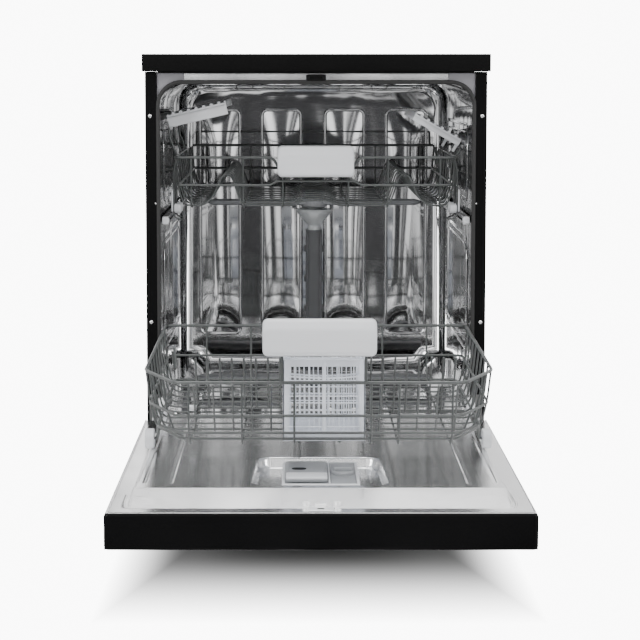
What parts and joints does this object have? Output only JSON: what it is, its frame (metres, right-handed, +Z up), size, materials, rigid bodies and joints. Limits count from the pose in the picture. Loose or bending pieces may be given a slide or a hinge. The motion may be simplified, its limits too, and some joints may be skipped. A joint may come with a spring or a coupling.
{
  "type": "built-in dishwasher",
  "caption": "Front-opening dishwasher with a drop-down hinged door, sliding lower and upper wire racks, spinning spray arms, folding cup shelves, cutlery basket and detergent dispenser.",
  "frame": {"origin": "on the floor, at the centre of the bounding box's footprint with the door open", "axes": "+X to the right seen from the front, +Y from the open door to the back, +Z up"},
  "size_m": [0.598, 1.204, 0.845],
  "materials": {
    "black_panel": "satin black enamel",
    "worktop_laminate": "black laminated chipboard",
    "black_plastic": "moulded satin",
    "stainless": "bright polished stainless sheet",
    "coated_wire": "grey nylon-coated wire",
    "pale_plastic": "fine-grained moulded",
    "grey_plastic": "fine-grained moulded",
    "basket_plastic": "moulded, slightly blue",
    "clear_plastic": "translucent moulded",
    "rubber": "extruded seal",
    "zinc_steel": "zinc-plated sheet",
    "spring_steel": "oiled wire"
  },
  "bodies": {
    "cabinet": {"worktop": "worktop_laminate", "side_panel_left": "black_panel", "side_panel_right": "black_panel", "back_panel": "zinc_steel", "base_tray": "black_plastic", "kickplate": "black_panel", "top_rail": "stainless", "foot_front_left": "black_plastic", "foot_front_right": "black_plastic", "foot_rear_left": "black_plastic", "foot_rear_right": "black_plastic", "tub": "stainless", "tub_gasket": "rubber", "latch_strike": "black_plastic", "spray_duct": "grey_plastic", "sump_housing": "grey_plastic", "filter_plate": "stainless", "circulation_pump": "black_plastic", "drain_pump": "black_plastic", "water_inlet_valve": "pale_plastic", "drain_spigot": "grey_plastic", "cable_gland": "black_plastic", "hinge_bracket_left": "zinc_steel", "hinge_bracket_right": "zinc_steel", "door_spring_left": "spring_steel", "door_spring_right": "spring_steel"},
    "door": {"door_outer_panel": "black_panel", "door_inner_panel": "stainless", "control_console": "black_plastic", "door_handle": "black_plastic", "display_window": "clear_plastic", "latch_plate": "stainless", "door_seal": "rubber", "dispenser_body": "grey_plastic", "hinge_arm_left": "zinc_steel", "hinge_arm_right": "zinc_steel"},
    "lower_rack": {"lower_basket": "coated_wire", "lower_handle": "pale_plastic"},
    "upper_rack": {"upper_basket": "coated_wire", "upper_handle": "pale_plastic", "upper_feed_funnel": "clear_plastic"},
    "rack_rails": {"rack_rail_left": "stainless", "rack_rail_right": "stainless"},
    "cutlery_basket": {"cutlery_basket": "basket_plastic"},
    "folding_tines": {"folding_tines": "coated_wire"},
    "cup_shelf_left": {"cup_shelf_left": "pale_plastic"},
    "cup_shelf_right": {"cup_shelf_right": "pale_plastic"},
    "upper_spray_arm": {"upper_spray_arm": "grey_plastic"},
    "lower_spray_arm": {"lower_spray_arm": "grey_plastic"},
    "filter_cup": {"filter_cup": "grey_plastic"},
    "salt_cap": {"salt_cap": "grey_plastic"},
    "detergent_lid": {"detergent_lid": "grey_plastic"},
    "rinse_aid_cap": {"rinse_aid_cap": "grey_plastic"},
    "power_button": {"power_button": "pale_plastic"},
    "programme_button": {"programme_button": "pale_plastic"},
    "start_button": {"start_button": "pale_plastic"},
    "lower_wheel_front_left": {"lower_wheel_front_left": "pale_plastic"},
    "lower_wheel_front_right": {"lower_wheel_front_right": "pale_plastic"},
    "lower_wheel_rear_left": {"lower_wheel_rear_left": "pale_plastic"},
    "lower_wheel_rear_right": {"lower_wheel_rear_right": "pale_plastic"}
  },
  "joints": [
    {"name": "door_hinge", "type": "hinge", "parent": "cabinet", "child": "door", "pos_m": [0, 0.014, 0.2], "axis": [-1, 0, 0], "range_deg": [0, 55], "deforming": ["door_spring_left", "door_spring_right"]},
    {"name": "lower_rack_slide", "type": "slide", "parent": "door", "child": "lower_rack", "axis": [0, -1, 0], "range_m": [-0.485, 0]},
    {"name": "lower_wheel_front_left_roll", "type": "hinge", "parent": "lower_rack", "child": "lower_wheel_front_left", "pos_m": [-0.2625, -0.29, 0.2438], "axis": [1, 0, 0], "range_deg": [-1800, 0]},
    {"name": "lower_wheel_front_right_roll", "type": "hinge", "parent": "lower_rack", "child": "lower_wheel_front_right", "pos_m": [0.2625, -0.29, 0.2438], "axis": [1, 0, 0], "range_deg": [-1800, 0]},
    {"name": "lower_wheel_rear_left_roll", "type": "hinge", "parent": "lower_rack", "child": "lower_wheel_rear_left", "pos_m": [-0.2625, -0.048, 0.2438], "axis": [1, 0, 0], "range_deg": [-1800, 0]},
    {"name": "lower_wheel_rear_right_roll", "type": "hinge", "parent": "lower_rack", "child": "lower_wheel_rear_right", "pos_m": [0.2625, -0.048, 0.2438], "axis": [1, 0, 0], "range_deg": [-1800, 0]},
    {"name": "cutlery_basket_lift", "type": "slide", "parent": "lower_rack", "child": "cutlery_basket", "axis": [0, 0, -1], "range_m": [-0.16, 0]},
    {"name": "tine_row_fold", "type": "hinge", "parent": "lower_rack", "child": "folding_tines", "pos_m": [-0.125, -0.206, 0.275], "axis": [1, 0, 0], "range_deg": [0, 55]},
    {"name": "upper_rack_slide", "type": "slide", "parent": "cabinet", "child": "upper_rack", "axis": [0, 1, 0], "range_m": [-0.43, 0]},
    {"name": "rack_rails_slide", "type": "slide", "parent": "cabinet", "child": "rack_rails", "axis": [0, 1, 0], "range_m": [-0.215, 0]},
    {"name": "cup_shelf_left_fold", "type": "hinge", "parent": "upper_rack", "child": "cup_shelf_left", "pos_m": [-0.265, 0.227, 0.733], "axis": [0, -1, 0], "range_deg": [0, 14]},
    {"name": "cup_shelf_right_fold", "type": "hinge", "parent": "upper_rack", "child": "cup_shelf_right", "pos_m": [0.26, 0.227, 0.69], "axis": [0, 1, 0], "range_deg": [0, 50]},
    {"name": "upper_spray_arm_spin", "type": "hinge", "parent": "upper_rack", "child": "upper_spray_arm", "pos_m": [0, 0.317, 0.566], "axis": [0, 0, 1], "continuous": true},
    {"name": "lower_spray_arm_spin", "type": "hinge", "parent": "cabinet", "child": "lower_spray_arm", "pos_m": [0, 0.297, 0.229], "axis": [0, 0, 1], "continuous": true},
    {"name": "filter_cup_twist", "type": "hinge", "parent": "cabinet", "child": "filter_cup", "pos_m": [0, 0.222, 0.175], "axis": [0, 0, 1], "range_deg": [0, 90]},
    {"name": "salt_cap_twist", "type": "hinge", "parent": "cabinet", "child": "salt_cap", "pos_m": [-0.15, 0.427, 0.21], "axis": [0, 0, 1], "range_deg": [0, 180]},
    {"name": "detergent_lid_slide", "type": "slide", "parent": "door", "child": "detergent_lid", "axis": [-1, 0, 0], "range_m": [0, 0.038]},
    {"name": "rinse_aid_cap_twist", "type": "hinge", "parent": "door", "child": "rinse_aid_cap", "pos_m": [0.035, -0.418, 0.222], "axis": [0, 0, 1], "range_deg": [0, 90]},
    {"name": "power_button_press", "type": "slide", "parent": "door", "child": "power_button", "axis": [0, 0, 1], "range_m": [0, 0.0015], "stiffness_N_per_m": 400},
    {"name": "programme_button_press", "type": "slide", "parent": "door", "child": "programme_button", "axis": [0, 0, 1], "range_m": [0, 0.0015], "stiffness_N_per_m": 400},
    {"name": "start_button_press", "type": "slide", "parent": "door", "child": "start_button", "axis": [0, 0, 1], "range_m": [0, 0.0015], "stiffness_N_per_m": 400}
  ],
  "couplings": [
    {"joint": "lower_wheel_front_left_roll", "follows": "lower_rack_slide", "rad_per_m": 64.516},
    {"joint": "lower_wheel_front_right_roll", "follows": "lower_rack_slide", "rad_per_m": 64.516},
    {"joint": "lower_wheel_rear_left_roll", "follows": "lower_rack_slide", "rad_per_m": 64.516},
    {"joint": "lower_wheel_rear_right_roll", "follows": "lower_rack_slide", "rad_per_m": 64.516},
    {"joint": "rack_rails_slide", "follows": "upper_rack_slide", "ratio": 0.5}
  ]
}
